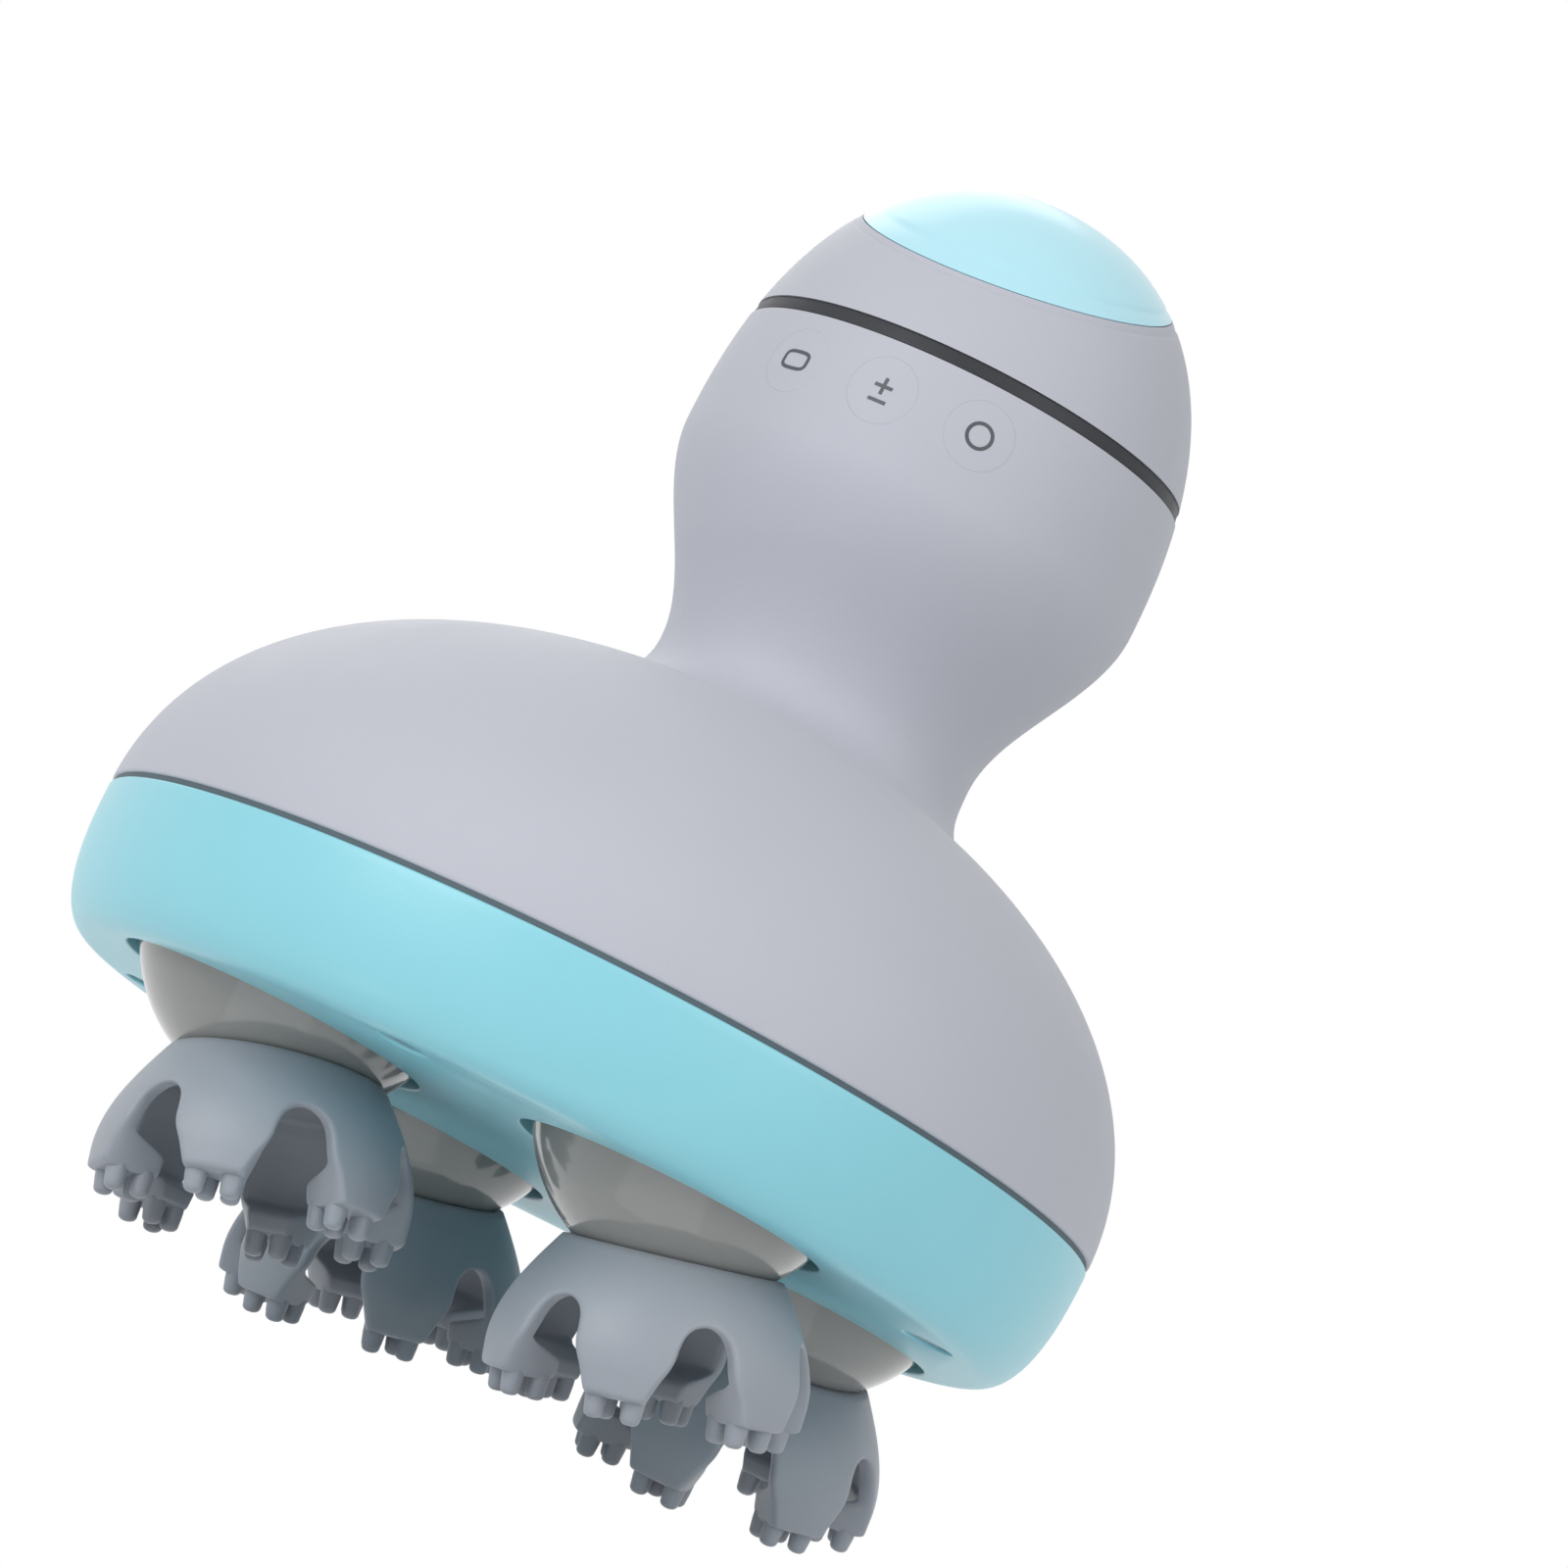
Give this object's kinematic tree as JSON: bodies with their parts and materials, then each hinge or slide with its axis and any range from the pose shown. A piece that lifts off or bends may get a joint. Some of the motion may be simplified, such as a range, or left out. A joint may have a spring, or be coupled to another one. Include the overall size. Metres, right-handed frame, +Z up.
{
  "type": "electric scalp massager",
  "caption": "Hand-held electric scalp massager: mushroom-shaped body with push buttons, and tilted multi-legged silicone claws that turn on bowls under its head.",
  "frame": {"origin": "centre of the bounding box on the surface that the lowest claw tips stand on, under the axis of the round head", "axes": "+Z up along the head's axis, -Y towards the buttons on the handle's front, +X to the right as seen from the front"},
  "size_m": [0.12, 0.12, 0.152],
  "materials": {
    "shell_grey": "soft-touch matte",
    "button_grey": "soft-touch matte",
    "trim_dark": "satin",
    "inlay_ice": "satin gloss",
    "base_blue": "satin",
    "seal_rubber": "matte",
    "natural_plastic": "moulded",
    "gear_plastic": "moulded",
    "bronze": "sintered",
    "steel": "ground",
    "motor_steel": "plated",
    "dark_plastic": "moulded",
    "lead_red": "insulated",
    "battery_wrap": "wrapped",
    "board_green": "lacquered",
    "pod_grey": "gloss",
    "silicone": "silicone"
  },
  "bodies": {
    "housing": {"body_shell": "shell_grey", "trim_ring": "trim_dark", "top_cap": "shell_grey", "cap_inlay": "inlay_ice", "base_shell": "base_blue", "shell_seal": "seal_rubber", "pod_seals": "seal_rubber", "gear_plate": "natural_plastic", "gearbox_cover": "natural_plastic", "lower_bushes": "bronze", "upper_bushes": "bronze", "sun_axle": "steel", "gearhead": "motor_steel", "motor_can": "motor_steel", "motor_end_cap": "dark_plastic", "motor_leads": "lead_red", "inner_frame": "natural_plastic", "battery_cell": "battery_wrap", "battery_leads": "lead_red", "circuit_board": "board_green", "board_parts": "dark_plastic", "switch_carrier": "natural_plastic", "tact_switches": "dark_plastic", "charge_disc": "trim_dark", "charge_contacts": "bronze", "shell_screws": "steel", "gearbox_screws": "steel", "motor_screws": "steel", "frame_screws": "steel", "board_screws": "steel"},
    "motor_output": {"drive_pinion": "steel"},
    "sun": {"compound_gear": "gear_plastic"},
    "button_mode": {"button_mode": "button_grey"},
    "button_level": {"button_level": "button_grey"},
    "button_power": {"button_power": "button_grey"},
    "massage_head_front_right": {"output_gear_front_right": "gear_plastic", "output_shaft_front_right": "steel", "pod_front_right": "pod_grey", "claw_front_right": "silicone"},
    "massage_head_back_right": {"output_gear_back_right": "gear_plastic", "output_shaft_back_right": "steel", "pod_back_right": "pod_grey", "claw_back_right": "silicone"},
    "massage_head_back_left": {"output_gear_back_left": "gear_plastic", "output_shaft_back_left": "steel", "pod_back_left": "pod_grey", "claw_back_left": "silicone"},
    "massage_head_front_left": {"output_gear_front_left": "gear_plastic", "output_shaft_front_left": "steel", "pod_front_left": "pod_grey", "claw_front_left": "silicone"}
  },
  "joints": [
    {"name": "spin_front_right", "type": "hinge", "parent": "housing", "child": "massage_head_front_right", "pos_m": [0.02489, -0.02489, 0.04299], "axis": [0, 0, 1], "continuous": true},
    {"name": "spin_back_right", "type": "hinge", "parent": "housing", "child": "massage_head_back_right", "pos_m": [0.02489, 0.02489, 0.04299], "axis": [0, 0, 1], "continuous": true},
    {"name": "spin_back_left", "type": "hinge", "parent": "housing", "child": "massage_head_back_left", "pos_m": [-0.02489, 0.02489, 0.04299], "axis": [0, 0, 1], "continuous": true},
    {"name": "spin_front_left", "type": "hinge", "parent": "housing", "child": "massage_head_front_left", "pos_m": [-0.02489, -0.02489, 0.04299], "axis": [0, 0, 1], "continuous": true},
    {"name": "spin_sun", "type": "hinge", "parent": "housing", "child": "sun", "pos_m": [0, 0, 0.04299], "axis": [0, 0, 1], "continuous": true},
    {"name": "spin_motor", "type": "hinge", "parent": "housing", "child": "motor_output", "pos_m": [0, 0.0165, 0.04299], "axis": [0, 0, 1], "continuous": true},
    {"name": "press_mode", "type": "slide", "parent": "housing", "child": "button_mode", "axis": [0.4226, 0.9063, 0], "range_m": [0, 0.0004], "stiffness_N_per_m": 4000},
    {"name": "press_level", "type": "slide", "parent": "housing", "child": "button_level", "axis": [0, 1, 0], "range_m": [0, 0.0004], "stiffness_N_per_m": 4000},
    {"name": "press_power", "type": "slide", "parent": "housing", "child": "button_power", "axis": [-0.4226, 0.9063, 0], "range_m": [0, 0.0004], "stiffness_N_per_m": 4000}
  ],
  "couplings": [
    {"joint": "spin_back_right", "follows": "spin_front_right", "ratio": 1},
    {"joint": "spin_back_left", "follows": "spin_front_right", "ratio": 1},
    {"joint": "spin_front_left", "follows": "spin_front_right", "ratio": 1},
    {"joint": "spin_sun", "follows": "spin_front_right", "ratio": -1.3158},
    {"joint": "spin_motor", "follows": "spin_front_right", "ratio": 4.8872}
  ]
}
